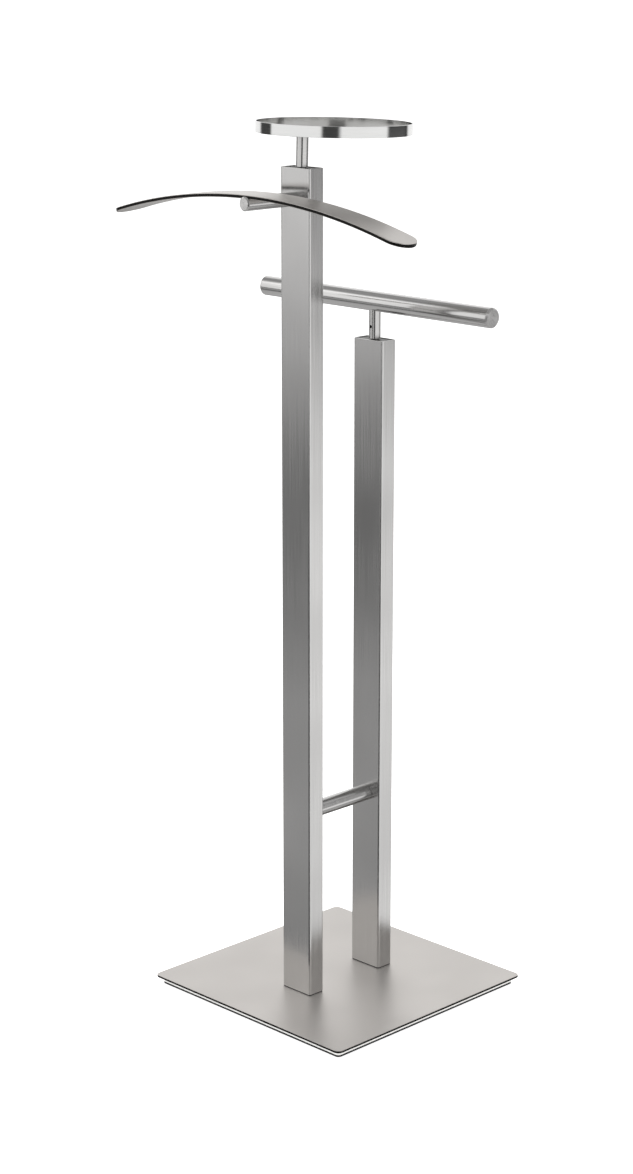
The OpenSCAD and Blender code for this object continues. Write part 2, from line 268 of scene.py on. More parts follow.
def turned(shell: Shell, profile: Sequence[Point2], grain: Grain, steps: int = 96) -> Shell:
    """Turns a profile round Z.

    Args:
        shell: the mesh to add to.
        profile: (radius, height) points. A point on the axis closes the end.
        grain: which way the scratches run.
        steps: how many facets go round.

    Returns:
        The same shell.
    """
    along = lengths(profile, closed=False)
    widest = max(r for r, _ in profile)
    angles = [2 * math.pi * j / steps for j in range(steps)]
    across = [widest * a for a in [*angles, 2 * math.pi]]
    rings = [[Vector((r * math.cos(a), r * math.sin(a), z)) for a in angles] for r, z in profile]
    shell.skin(rings, across, along, swap=grain is Grain.AROUND)
    bmesh.ops.remove_doubles(shell.mesh, verts=shell.mesh.verts, dist=1e-7)
    return shell


def rounded_edge(corner: Point2, before: Point2, after: Point2, size: float) -> list[Point2]:
    """Rounds one corner of a profile with three spans.

    Args:
        corner: the sharp corner.
        before: a point on the line that comes in.
        after: a point on the line that goes out.
        size: how far from the corner the round starts.

    Returns:
        Four points that take the corner's place.
    """
    here = Vector(corner)
    start = here + (Vector(before) - here).normalized() * size
    end = here + (Vector(after) - here).normalized() * size
    made = []
    for i in range(4):
        t = i / 3
        point = start * (1 - t) ** 2 + here * (2 * t * (1 - t)) + end * t**2
        made.append((point.x, point.y))
    return made


def hoop(outer: float, inner: float, height: float, size: float) -> list[Point2]:
    """Lists the closed profile of a tube's or a ring's wall, with its four edges rounded."""
    corners = [(outer, 0), (outer, height), (inner, height), (inner, 0)]
    made: list[Point2] = []
    for i, corner in enumerate(corners):
        made += rounded_edge(corner, corners[i - 1], corners[(i + 1) % 4], size)
    return [*made, made[0]]


def eased(profile: Sequence[Point2], size: float) -> list[Point2]:
    """Rounds every inner corner of an open profile a little, as a file or a tumbler does."""
    made: list[Point2] = [profile[0]]
    for before, corner, after in zip(profile, profile[1:], profile[2:]):
        made += rounded_edge(corner, before, after, size)
    made.append(profile[-1])
    return made


def apply_modifiers(piece: bpy.types.Object) -> None:
    """Puts a piece's modifiers into its mesh and removes them."""
    graph = bpy.context.evaluated_depsgraph_get()
    graph.update()
    data = bpy.data.meshes.new_from_object(piece.evaluated_get(graph), depsgraph=graph)
    piece.modifiers.clear()
    data.name = piece.name
    piece.data = data


def run_tree(
    piece: bpy.types.Object, tree: bpy.types.NodeTree, values: dict[str, Any]
) -> None:
    """Runs a node tree on a piece and keeps the plain mesh that it gives.

    Args:
        piece: the piece.
        tree: the node tree.
        values: its named inputs.
    """
    made = piece.modifiers.new(tree.name, "NODES")
    made.node_group = tree
    for item in tree.interface.items_tree:
        if item.in_out == "INPUT" and item.name in values:
            made[item.identifier] = values[item.name]
    apply_modifiers(piece)


def cut(piece: bpy.types.Object, cutter: bpy.types.Object) -> None:
    """Cuts one mesh out of another, and deletes the cutter.

    Args:
        piece: the piece that loses material.
        cutter: the shape that is taken out.
    """
    made = piece.modifiers.new("cut", "BOOLEAN")
    made.operation = "DIFFERENCE"
    made.solver = "EXACT"
    made.object = cutter
    apply_modifiers(piece)
    bpy.data.objects.remove(cutter)


def even_normals(piece: bpy.types.Object, crease: float = 40.0) -> None:
    """Lets flat faces stay flat in the light beside their small rounded edges.

    Args:
        piece: the piece.
        crease: the angle in degrees from which an edge is drawn sharp.
    """
    piece.data.set_sharp_from_angle(angle=math.radians(crease))
    made = piece.modifiers.new("even_normals", "WEIGHTED_NORMAL")
    made.mode, made.weight, made.keep_sharp = "FACE_AREA", 50, True
    apply_modifiers(piece)


def paint_edge_shade(
    piece: bpy.types.Object, finish: bpy.types.Material, on_edge: Callable[[Vector], bool]
) -> None:
    """Paints the middle of a piece's cut edge a nearly black steel, as painted shade.

    Args:
        piece: the piece.
        finish: the edge's material, the painted shade.
        on_edge: says from a face's normal whether the face is on the edge.
    """
    piece.data.materials.append(finish)
    last = len(piece.data.materials) - 1
    for face in piece.data.polygons:
        if on_edge(face.normal):
            face.material_index = last


def place_piece(piece: bpy.types.Object, body: Body, slot: str, *nodes: str) -> None:
    """Seats a piece in the frame.

    Args:
        piece: the finished piece.
        body: the body that it rides on.
        slot: the record's material slot for its finish; not used.
        nodes: the frame's nodes that it stands for.
    """
    even_normals(piece)
    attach(piece, body.value)
    if nodes:
        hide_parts(*nodes)
    LOG.info("%s rides on %s: %d faces", piece.name, body.value, len(piece.data.polygons))


# ---------------------------------------------------------------- finishes


def speckle(
    tree: bpy.types.NodeTree,
    fine: bpy.types.NodeSocket,
    tone: bpy.types.NodeSocket,
    shades: tuple[str, str],
    roughness: Point2,
    relief: float,
) -> dict[str, bpy.types.NodeSocket]:
    """Makes the uneven colour, roughness and relief of a surface.

    Args:
        tree: the material's node tree.
        fine: the fine pattern, which moves the roughness and the relief.
        tone: the share of the lighter colour.
        shades: the darker and the lighter colour.
        roughness: the middle roughness, and how far it swings.
        relief: the height of the pattern.

    Returns:
        The shader's inputs that they feed.
    """
    dark, light = (linear(code) for code in shades)
    colour = add_node(
        tree, "ShaderNodeMix", {"Factor": tone, "A": dark, "B": light}, data_type="RGBA"
    )
    middle, swing = roughness
    spread = {"From Min": 0.3, "From Max": 0.7, "To Min": middle - swing, "To Max": middle + swing}
    rough = add_node(tree, "ShaderNodeMapRange", {"Value": fine, **spread})
    bump = add_node(
        tree, "ShaderNodeBump", {"Height": fine, "Strength": 1.0, "Distance": relief}
    )
    return {
        "Base Color": colour.outputs["Result"],
        "Roughness": rough.outputs[0],
        "Normal": bump.outputs[0],
    }


def close_material(tree: bpy.types.NodeTree, inputs: dict[str, Any]) -> None:
    """Adds a material's shader and its output."""
    shader = add_node(tree, "ShaderNodeBsdfPrincipled", inputs)
    add_node(tree, "ShaderNodeOutputMaterial", {"Surface": shader.outputs[0]})


@dataclass(frozen=True)
class BrushedStainless:
    """Austenitic stainless steel, polished with a belt or in a lathe.

    The belt leaves fine parallel scratches: the metal keeps its sharp gradients along them
    and smears every highlight across them. The spacing is (across, along) the scratches.
    """

    name: str
    colour: str
    shade: str
    roughness: float
    anisotropy: float
    spacing: Point2
    roughness_swing: float = 0.05
    relief: float = 0.000004
    tone_run: float = 0.12

    def build(self) -> bpy.types.Material:
        """Makes the material.

        Returns:
            The material, with its scratches on the piece's own grain map.
        """
        made = bpy.data.materials.new(self.name)
        made.use_nodes = True
        tree = made.node_tree
        tree.nodes.clear()
        place = add_node(tree, "ShaderNodeTexCoord").outputs["Object"]
        grain = add_node(tree, "ShaderNodeUVMap", uv_map=GRAIN_UV).outputs[0]
        fine_scale = (1 / self.spacing[0], 1 / self.spacing[1], 1.0)
        fine_place = add_node(
            tree, "ShaderNodeMapping", {"Vector": grain, "Scale": fine_scale}
        ).outputs[0]
        # The real scratches are a few hundredths of a millimetre apart, too fine to be seen,
        # so their clusters are drawn instead.
        fine = add_node(
            tree,
            "ShaderNodeTexNoise",
            {"Vector": fine_place, "Scale": 1.0, "Detail": 3.0, "Roughness": 0.6},
        ).outputs["Fac"]
        broad = add_node(
            tree,
            "ShaderNodeTexNoise",
            {"Vector": place, "Scale": 1 / self.tone_run, "Detail": 1.0, "Roughness": 0.4},
        ).outputs["Fac"]
        both = add_node(
            tree,
            "ShaderNodeMath",
            {0: fine, 1: broad},
            operation="MULTIPLY",
        ).outputs[0]
        tone = add_node(
            tree,
            "ShaderNodeMapRange",
            {"Value": both, "From Min": 0.14, "From Max": 0.36, "To Min": 0.0, "To Max": 1.0},
        ).outputs[0]
        look = speckle(
            tree,
            fine,
            tone,
            (self.shade, self.colour),
            (self.roughness, self.roughness_swing),
            self.relief,
        )
        tangent = add_node(
            tree, "ShaderNodeTangent", direction_type="UV_MAP", uv_map=GRAIN_UV
        ).outputs[0]
        grain_way = {"Anisotropic": self.anisotropy, "Tangent": tangent}
        close_material(tree, {"Metallic": 1.0, **look, **grain_way})
        return made


@dataclass(frozen=True)
class PlainSurface:
    """A surface without a grain: moulded rubber, or machined and plated steel."""

    name: str
    colour: str
    shade: str
    roughness: float
    metallic: float
    grit: float
    relief: float

    def build(self) -> bpy.types.Material:
        """Makes the material.

        Returns:
            The material, mottled at the grit's size.
        """
        made = bpy.data.materials.new(self.name)
        made.use_nodes = True
        tree = made.node_tree
        tree.nodes.clear()
        place = add_node(tree, "ShaderNodeTexCoord").outputs["Object"]
        grit = add_node(
            tree,
            "ShaderNodeTexNoise",
            {"Vector": place, "Scale": 1 / self.grit, "Detail": 3.0, "Roughness": 0.55},
        ).outputs["Fac"]
        shades = (self.shade, self.colour)
        look = speckle(tree, grit, grit, shades, (self.roughness, 0.06), self.relief)
        close_material(tree, {"Metallic": self.metallic, **look})
        return made


@dataclass
class Finishes:
    """Every finish on the stand."""

    # Square tube, belt-polished lengthwise: soft, stretched gradients up the posts.
    tube: bpy.types.Material = field(
        default_factory=BrushedStainless(
            "brushed_stainless_tube", "#D2D1D0", "#C3C2C1", 0.22, 0.85, (1.1 * MM, 160 * MM)
        ).build
    )
    # Round tube, belt-polished lengthwise: clear bands along the bar.
    bar: bpy.types.Material = field(
        default_factory=BrushedStainless(
            "brushed_stainless_bar", "#D4D3D2", "#C6C5C4", 0.15, 0.5, (0.9 * MM, 120 * MM)
        ).build
    )
    # Rod turned in a lathe: the scratches run round it, and fan out on its ends.
    rod: bpy.types.Material = field(
        default_factory=BrushedStainless(
            "turned_stainless_rod",
            "#D2D1D0",
            "#C6C5C4",
            0.2,
            0.85,
            (0.8 * MM, 40 * MM),
            roughness_swing=0.02,
            relief=0.000001,
        ).build
    )
    # Cold-rolled sheet with a fine satin polish: a warm, even grey.
    sheet: bpy.types.Material = field(
        default_factory=BrushedStainless(
            "satin_stainless_sheet",
            "#D9D5D1",
            "#D2CECA",
            0.42,
            0.0,
            (1.6 * MM, 1.6 * MM),
            relief=0.000002,
            tone_run=0.09,
        ).build
    )
    # Strip with a fine satin polish along its length.
    strip: bpy.types.Material = field(
        default_factory=BrushedStainless(
            "satin_stainless_strip", "#D3CFCB", "#C6C2BE", 0.34, 0.4, (1.0 * MM, 60 * MM)
        ).build
    )
    # Buffed band: nearly a mirror, with faint lines from rolling.
    band: bpy.types.Material = field(
        default_factory=BrushedStainless(
            "buffed_stainless_band",
            "#DCDCDB",
            "#D4D4D3",
            0.09,
            0.0,
            (1.2 * MM, 60 * MM),
            roughness_swing=0.02,
            relief=0.0000015,
        ).build
    )
    # Satin sheet inside the tray.
    tray: bpy.types.Material = field(
        default_factory=BrushedStainless(
            "satin_stainless_tray", "#D2D1CF", "#C8C7C5", 0.36, 0.3, (1.2 * MM, 50 * MM)
        ).build
    )
    # Sawn and turned steel that is seldom seen.
    machined: bpy.types.Material = field(
        default_factory=PlainSurface(
            "machined_steel", "#8E8E8D", "#757574", 0.5, 1.0, 1.5 * MM, 0.00001
        ).build
    )
    # Painted mild steel: a pale, even line under the plate.
    grey_paint: bpy.types.Material = field(
        default_factory=PlainSurface(
            "light_grey_paint", "#F0F0EE", "#E6E6E3", 0.5, 0.0, 2 * MM, 0.00001
        ).build
    )
    # Painted shade: the flat middle of each cut edge is a nearly black steel between the rounded
    # arrises, standing in for the shade on it.
    edge_shade_paint: bpy.types.Material = field(
        default_factory=PlainSurface(
            "laser_cut_edge", "#2B2A29", "#1B1A19", 0.35, 1.0, 0.5 * MM, 0.000006
        ).build
    )
    # Stainless fasteners, tumbled.
    fastener: bpy.types.Material = field(
        default_factory=PlainSurface(
            "tumbled_stainless", "#BDBCBA", "#ABAAA8", 0.32, 1.0, 0.8 * MM, 0.000006
        ).build
    )
    # Black set screw steel, phosphated.
    black_steel: bpy.types.Material = field(
        default_factory=PlainSurface(
            "phosphated_steel", "#1E1E1F", "#121213", 0.5, 0.6, 0.6 * MM, 0.000006
        ).build
    )
    # Solid rubber sheet: black and matt.
    rubber: bpy.types.Material = field(
        default_factory=PlainSurface(
            "black_rubber_sheet", "#232324", "#19191A", 0.75, 0.0, 1.0 * MM, 0.00003
        ).build
    )


# ---------------------------------------------------------------- screws, as geometry nodes


@dataclass(frozen=True)
class ScrewRow:
    """A row of equal screws, placed by a node tree from a count and a pitch."""

    name: str
    head: bpy.types.Object
    count: int
    pitch: float
    rows: int = 1
    row_pitch: float = 0.0

    def tree(self, finish: bpy.types.Material) -> bpy.types.NodeTree:
        """Makes the node tree that sets the screws out.

        Args:
            finish: the screws' material.

        Returns:
            The tree, with its count, pitches and rows as named inputs.
        """
        made = bpy.data.node_groups.new(self.name + "_layout", "GeometryNodeTree")
        face = made.interface
        face.new_socket("Geometry", in_out="INPUT", socket_type="NodeSocketGeometry")
        face.new_socket("Screw", in_out="INPUT", socket_type="NodeSocketObject")
        for label in ("Count", "Rows"):
            face.new_socket(label, in_out="INPUT", socket_type="NodeSocketInt")
        for label in ("Pitch", "Row pitch"):
            face.new_socket(label, in_out="INPUT", socket_type="NodeSocketFloat")
        face.new_socket("Geometry", in_out="OUTPUT", socket_type="NodeSocketGeometry")
        given = add_node(made, "NodeGroupInput").outputs

        def span(count: bpy.types.NodeSocket, pitch: bpy.types.NodeSocket) -> bpy.types.NodeSocket:
            """Gives the whole length of a row from its count and pitch."""
            gaps = add_node(made, "ShaderNodeMath", {0: count, 1: 1.0}, operation="SUBTRACT")
            return add_node(
                made, "ShaderNodeMath", {0: gaps.outputs[0], 1: pitch}, operation="MULTIPLY"
            ).outputs[0]

        grid = add_node(
            made,
            "GeometryNodeMeshGrid",
            {
                "Size X": span(given["Count"], given["Pitch"]),
                "Size Y": span(given["Rows"], given["Row pitch"]),
                "Vertices X": given["Count"],
                "Vertices Y": given["Rows"],
            },
        )
        points = add_node(made, "GeometryNodeMeshToPoints", {"Mesh": grid.outputs["Mesh"]})
        screw = add_node(made, "GeometryNodeObjectInfo", {"Object": given["Screw"]})
        placed = add_node(
            made,
            "GeometryNodeInstanceOnPoints",
            {"Points": points.outputs[0], "Instance": screw.outputs["Geometry"]},
        )
        real = add_node(made, "GeometryNodeRealizeInstances", {"Geometry": placed.outputs[0]})
        dressed = add_node(
            made, "GeometryNodeSetMaterial", {"Geometry": real.outputs[0], "Material": finish}
        )
        add_node(made, "NodeGroupOutput", {"Geometry": dressed.outputs[0]})
        return made

    def build(self, finish: bpy.types.Material, place: Matrix) -> bpy.types.Object:
        """Makes the row as one plain mesh.

        Args:
            finish: the screws' material.
            place: the row's middle, with Z along the screws.

        Returns:
            The piece, at the origin.
        """
        data = bpy.data.meshes.new(self.name)
        piece = bpy.data.objects.new(self.name, data)
        bpy.context.scene.collection.objects.link(piece)
        values = {
            "Screw": self.head,
            "Count": self.count,
            "Rows": self.rows,
            "Pitch": self.pitch,
            "Row pitch": self.row_pitch,
        }
        run_tree(piece, self.tree(finish), values)
        piece.data.transform(place)
        bpy.data.objects.remove(self.head)
        return piece


@dataclass(frozen=True)
class SocketScrew:
    """A screw with a hexagon socket: a button head or a countersunk one."""

    thread_d: float
    length: float
    head_d: float
    head_h: float
    socket: float
    countersunk: bool = False

    def profile(self) -> list[Point2]:
        """Lists the outside from the thread's tip to the rim of the socket."""
        thread, head = self.thread_d / 2, self.head_d / 2
        tip = [(0.0, self.length), (thread * 0.85, self.length), (thread, self.length - 0.4 * MM)]
        if self.countersunk:
            edge = 0.25 * MM
            return [*tip, (thread, self.head_h), (head, edge), (head - edge, 0.0)]
        # A button head is a low dome: its edge is a short flat, then an arc up to the crown.
        crown = self.socket * 0.62
        dome = []
        for i in range(9):
            t = i / 8
            radius = head + (crown - head) * t
            dome.append((radius, -self.head_h * (1 - (radius / head) ** 2 * 0.8)))
        return [*tip, (thread, 0.0), (head, 0.0), *dome]

    def build(self, name: str, finish: bpy.types.Material, steps: int = 48) -> bpy.types.Object:
        """Makes one screw that points up, with its socket below.

        Args:
            name: the object's name.
            finish: its material.
            steps: how many facets go round.

        Returns:
            The screw's object.
        """
        shell = Shell()
        outside = self.profile()
        floor = outside[-1][1] + 0.55 * self.head_h
        angles = [2 * math.pi * j / steps for j in range(steps)]
        across = [self.head_d / 2 * a for a in [*angles, 2 * math.pi]]
        rings = [
            [Vector((r * math.cos(a), r * math.sin(a), z)) for a in angles] for r, z in outside
        ]
        # The socket's wall is a hexagon: the distance to its flats goes with the angle.
        flat = self.socket / 2

        def hexagon(z: float, scale: float) -> list[Vector]:
            """Lists a ring on the hexagon's outline."""
            ring = []
            for a in angles:
                turn = (a + math.pi / 6) % (math.pi / 3) - math.pi / 6
                radius = scale * flat / math.cos(turn)
                ring.append(Vector((radius * math.cos(a), radius * math.sin(a), z)))
            return ring

        rings += [hexagon(outside[-1][1], 1.0), hexagon(floor, 1.0), hexagon(floor, 0.0)]
        middle = [ring[0] for ring in rings]
        shell.skin(rings, across, lengths(middle, closed=False), swap=True)
        return shell.piece(name, finish)


# ---------------------------------------------------------------- sub-assemblies


@dataclass
class WeightedBase:
    """The square foot: a satin plate, its ballast, its mat and the screws from below."""

    finishes: Finishes
    corner_r: float = 8 * MM
    edge_break: float = 0.55 * MM
    countersink_d: float = 10 * MM
    screw_d: float = 5 * MM
    screw_pitch: float = 26 * MM

    def plate(self) -> None:
        """Makes the plate with rounded edges, which catch a thin line of light."""
        low, high = extent("base_plate")
        width, depth = high.x - low.x, high.y - low.y
        e, shell, steps = self.edge_break, Shell(), 10
        turns = [math.radians(angle) for angle in (0, 30, 60, 90)]
        levels = [(e * (1 - math.sin(a)), low.z + e * (1 - math.cos(a))) for a in turns]
        levels += [(e * (1 - math.cos(a)), high.z - e * (1 - math.sin(a))) for a in turns]
        rings = []
        for inset, z in levels:
            outline = rounded_outline(
                width - 2 * inset, depth - 2 * inset, self.corner_r - inset, steps
            )
            rings.append([Vector((x, y, z)) for x, y in outline])
        across = lengths(rings[0], closed=True)
        along = lengths([ring[0] for ring in rings], closed=False)
        shell.skin(rings, across, along)
        for ring, flip in ((rings[0], True), (rings[-1], False)):
            corners = [shell.mesh.verts.new(p) for p in (reversed(ring) if flip else ring)]
            shell.face(corners, [(v.co.x, v.co.y) for v in corners])
        piece = shell.piece("base_plate_satin", self.finishes.sheet)
        # Painted shade: the plate's cut edge is painted nearly black.
        paint_edge_shade(piece, self.finishes.edge_shade_paint, lambda n: abs(n.z) < 0.3)
        self.sink_holes(piece, low.z)
        place_piece(piece, Body.STAND, "satin_plate", "base_plate")

    def sink_holes(self, piece: bpy.types.Object, bottom: float) -> None:
        """Countersinks the plate from below for the foot screws.

        Args:
            piece: the plate.
            bottom: the height of its underside.
        """
        gap = 0.08 * MM
        for node in ("tall_post", "short_post"):
            low, high = extent(node)
            for side in (-1, 1):
                shell = Shell()
                half = self.countersink_d / 2 + gap
                shank = self.screw_d / 2 + gap
                sink = [(0.0, -MM), (half, -MM), (half, 0.0), (shank, half - shank)]
                turned(shell, [*sink, (shank, 4 * MM), (0.0, 4 * MM)], Grain.AROUND, 48)
                centre = Vector((side * self.screw_pitch / 2, (low.y + high.y) / 2, bottom))
                cut(piece, shell.piece("sink", self.finishes.sheet, Matrix.Translation(centre)))

    def screws(self) -> None:
        """Makes the four countersunk screws from one, two under each post."""
        low, high = extent("foot_screws")
        tall, short = extent("tall_post"), extent("short_post")
        rows = [(box[0].y + box[1].y) / 2 for box in (tall, short)]
        screw = SocketScrew(
            self.screw_d, high.z - low.z, self.countersink_d, self.screw_d / 2, 4 * MM, True
        )
        row = ScrewRow(
            "foot_screws_countersunk",
            screw.build("foot_screw", self.finishes.fastener, 36),
            2,
            self.screw_pitch,
            2,
            abs(rows[1] - rows[0]),
        )
        centre = Vector((0, sum(rows) / 2, low.z))
        piece = row.build(self.finishes.fastener, Matrix.Translation(centre))
        place_piece(piece, Body.STAND, "fastener_steel", "foot_screws")

    def build(self) -> None:
        """Makes and dresses the whole base."""
        self.plate()
        self.screws()
        dress("ballast_plate", self.finishes.grey_paint)
        dress("anti_slip_mat", self.finishes.rubber)


@dataclass
class Post:
    """One upright of rectangular tube, with its plug, gasket and foot block."""

    finishes: Finishes
    which: str
    wall: float = 1.5 * MM
    corner_r: float = 3 * MM
    edge_break: float = 0.3 * MM
    corner_steps: int = 8

    def tube(self) -> None:
        """Makes the tube, with its ends filed smooth."""
        low, high = extent(self.which + "_post")
        width, depth = high.x - low.x, high.y - low.y
        e, w = self.edge_break, self.wall
        # Inset from the outline and height, up the outside, over the end and down the inside.
        path = [(0.0, low.z + e), (0.0, high.z - e), (e * 0.3, high.z - e * 0.3), (e, high.z)]
        path += [(w - e * 0.5, high.z), (w, high.z - e * 0.5)]
        path += [(w, low.z + e * 0.5), (w - e * 0.5, low.z), (e, low.z), (e * 0.3, low.z + e * 0.3)]
        rings = []
        for inset, z in path:
            outline = rounded_outline(
                width - 2 * inset, depth - 2 * inset, self.corner_r - inset, self.corner_steps
            )
            rings.append([Vector((x, y, z)) for x, y in outline])
        across = lengths(rings[0], closed=True)
        along = lengths([ring[0] for ring in [*rings, rings[0]]], closed=False)
        shell = Shell()
        shell.skin(rings, across, along, closed=True)
        centre = Vector((0, (low.y + high.y) / 2, 0))
        piece = shell.piece(
            self.which + "_post_tube", self.finishes.tube, Matrix.Translation(centre)
        )
        place_piece(piece, Body.STAND, "brushed_posts", self.which + "_post")

    def build(self) -> None:
        """Makes and dresses the post."""
        self.tube()
        dress(self.which + "_plug", self.finishes.machined)
        dress(self.which + "_foot_block", self.finishes.machined)
        dress(self.which + "_foot_gasket", self.finishes.rubber)


@dataclass
class PostLinks:
    """The rod between the posts and the bolts that hold it and the hanger's arm."""

    finishes: Finishes
    edge_break: float = 0.35 * MM
    bolt_d: float = 8 * MM

    def rod(self) -> None:
        """Makes the rod from the tall post's back face to the short post's front face."""
        low, high = extent("spacer_rod")
        radius, length = (high.x - low.x) / 2, high.y - low.y
        e = self.edge_break
        profile = [(0, 0), (radius - e, 0), (radius, e), (radius, length - e)]
        shell = turned(Shell(), [*profile, (radius - e, length), (0, length)], Grain.AROUND)
        place = Matrix.Translation(
            Vector((0, low.y, (low.z + high.z) / 2))
        ) @ Matrix.Rotation(-math.pi / 2, 4, "X")
        piece = shell.piece("spacer_rod_turned", self.finishes.rod, place)
        place_piece(piece, Body.STAND, "brushed_rods", "spacer_rod")

    def bolts(self) -> None:
        """Makes the two button head bolts, whose heads show on the backs of the posts."""
        arm, rod = extent("hanger_arm"), extent("spacer_rod")
        tall, short = extent("tall_post"), extent("short_post")
        bolts = []
        for post, rod_box, index in ((tall, arm, 0), (short, rod, 1)):
            head = SocketScrew(
                self.bolt_d, 45 * MM, 1.75 * self.bolt_d, 0.55 * self.bolt_d, 0.62 * self.bolt_d
            ).build(f"bolt_{index}", self.finishes.fastener)
            row = ScrewRow(f"post_bolt_{index}", head, 1, 0.0)
            place = Matrix.Translation(
                Vector((0, post[1].y, (rod_box[0].z + rod_box[1].z) / 2))
            ) @ Matrix.Rotation(math.pi / 2, 4, "X")
            bolts.append(row.build(self.finishes.fastener, place))
        piece = join("post_bolts_button", bolts)
        place_piece(piece, Body.STAND, "fastener_steel", "post_bolts")

    def build(self) -> None:
        """Makes and dresses the links."""
        self.rod()
        self.bolts()
        for node in ("spacer_stud", "spacer_nut", "post_bushes"):
            dress(node, self.finishes.machined)


@dataclass
class CoatHanger:
    """The bent strip, the arm under it and the two screws that join them."""

    finishes: Finishes
    edge_r: float = 0.9 * MM
    arm_chamfer: float = 1.6 * MM
    seat_gap: float = 0.05 * MM
    screw_d: float = 5 * MM
    screw_pitch: float = 26 * MM
    thickness: float = 4.5 * MM
    stations: int = 240

    def bend_tree(self) -> bpy.types.NodeTree:
        """Makes the node tree that bends a flat strip downwards along an arc.

        Returns:
            The tree, with the bend's radius and the crown's height as named inputs.
        """
        made = bpy.data.node_groups.new("hanger_bend", "GeometryNodeTree")
        face = made.interface
        face.new_socket("Geometry", in_out="INPUT", socket_type="NodeSocketGeometry")
        face.new_socket("Bend radius", in_out="INPUT", socket_type="NodeSocketFloat")
        face.new_socket("Crown height", in_out="INPUT", socket_type="NodeSocketFloat")
        face.new_socket("Geometry", in_out="OUTPUT", socket_type="NodeSocketGeometry")
        given = add_node(made, "NodeGroupInput").outputs

        def math_node(operation: str, first: Any, second: Any = 0.0) -> bpy.types.NodeSocket:
            """Adds one sum and returns its result."""
            return add_node(
                made, "ShaderNodeMath", {0: first, 1: second}, operation=operation
            ).outputs[0]

        where = add_node(made, "GeometryNodeInputPosition").outputs[0]
        axis = add_node(made, "ShaderNodeSeparateXYZ", {0: where}).outputs
        # The strip's upper face lies at height 0 and its length runs along X.
        angle = math_node("DIVIDE", axis["X"], given["Bend radius"])
        reach = math_node("ADD", given["Bend radius"], axis["Z"])
        drop = math_node("SUBTRACT", given["Crown height"], given["Bend radius"])
        bent = add_node(
            made,
            "ShaderNodeCombineXYZ",
            {
                "X": math_node("MULTIPLY", reach, math_node("SINE", angle)),
                "Y": axis["Y"],
                "Z": math_node(
                    "ADD", math_node("MULTIPLY", reach, math_node("COSINE", angle)), drop
                ),
            },
        ).outputs[0]
        moved = add_node(
            made, "GeometryNodeSetPosition", {"Geometry": given["Geometry"], "Position": bent}
        )
        # The edge's painted shade keeps its dark material; every other face takes the strip's
        # finish.
        on_edge = add_node(
            made, "GeometryNodeMaterialSelection", {"Material": self.finishes.edge_shade_paint}
        ).outputs[0]
        broad = add_node(made, "FunctionNodeBooleanMath", {0: on_edge}, operation="NOT").outputs[0]
        dressed = add_node(
            made,
            "GeometryNodeSetMaterial",
            {
                "Geometry": moved.outputs[0],
                "Selection": broad,
                "Material": self.finishes.strip,
            },
        )
        add_node(made, "NodeGroupOutput", {"Geometry": dressed.outputs[0]})
        return made

    def strip(self) -> None:
        """Makes the strip flat, with full round ends and rolled edges, then bends it."""
        low, high = extent("hanger")
        width = high.y - low.y
        half_chord = (high.x - low.x) / 2
        # The tips' height gives the bend: the sagitta rule on the upper face.
        tips = [v.co for v in frame["nodes"]["hanger"].data.vertices if v.co.x > high.x - 0.2 * MM]
        drop = high.z - max(v.z for v in tips)
        radius = (half_chord**2 + drop**2) / (2 * drop)
        flat_half = radius * math.asin(half_chord / radius)
        straight = flat_half - width / 2
        rings = []
        edge, t = self.edge_r, self.thickness
        # The section's half from the middle of the top, round the rolled edge, to the bottom.
        section = [(0.0, 0.0), (width / 2 - edge * 2.5, 0.0)]
        section += arc((width / 2 - edge, -edge), edge, 90, 0, 6)
        section += arc((width / 2 - edge, -t + edge), edge, 0, -90, 6)
        section += [(width / 2 - edge * 2.5, -t), (0.0, -t)]
        for i in range(self.stations + 1):
            # Stations crowd together towards the round ends.
            s = math.sin(math.pi / 2 * (2 * i / self.stations - 1))
            x = flat_half * s
            past = max(0.0, abs(x) - straight)
            share = math.sqrt(max(0.0, 1 - (past / (width / 2)) ** 2))
            rings.append((x, share))
        shell = Shell()
        self.skin_strip(shell, rings, section)
        piece = shell.piece("hanger_strip", self.finishes.strip)
        # Painted shade: the strip's cut edge is painted nearly black.
        paint_edge_shade(piece, self.finishes.edge_shade_paint, lambda n: abs(n.z) < 0.3)
        run_tree(piece, self.bend_tree(), {"Bend radius": radius, "Crown height": high.z})
        piece.data.transform(Matrix.Translation(Vector((0, (low.y + high.y) / 2, 0))))
        place_piece(piece, Body.STAND, "satin_plate", "hanger")

    def skin_strip(
        self, shell: Shell, rings: Sequence[Point2], section: Sequence[Point2]
    ) -> None:
        """Lays the section along the strip.

        Args:
            shell: the mesh to add to.
            rings: the place along X of each station and the share of the width there.
            section: the half section, as (distance from the middle, height).
        """
        whole = [*section, *[(-y, z) for y, z in reversed(section[1:-1])]]
        across = lengths(whole, closed=True)
        half = max(y for y, _ in section)
        made = []
        for x, share in rings:
            ring = []
            for y, z in whole:
                # The rolled edge keeps its own radius where the width shrinks at the tips.
                sign = math.copysign(1.0, y)
                inset = half - abs(y)
                ring.append(Vector((x, sign * max(0.0, half * share - inset) if y else 0.0, z)))
            made.append(ring)
        shell.skin(made, across, [x for x, _ in rings])

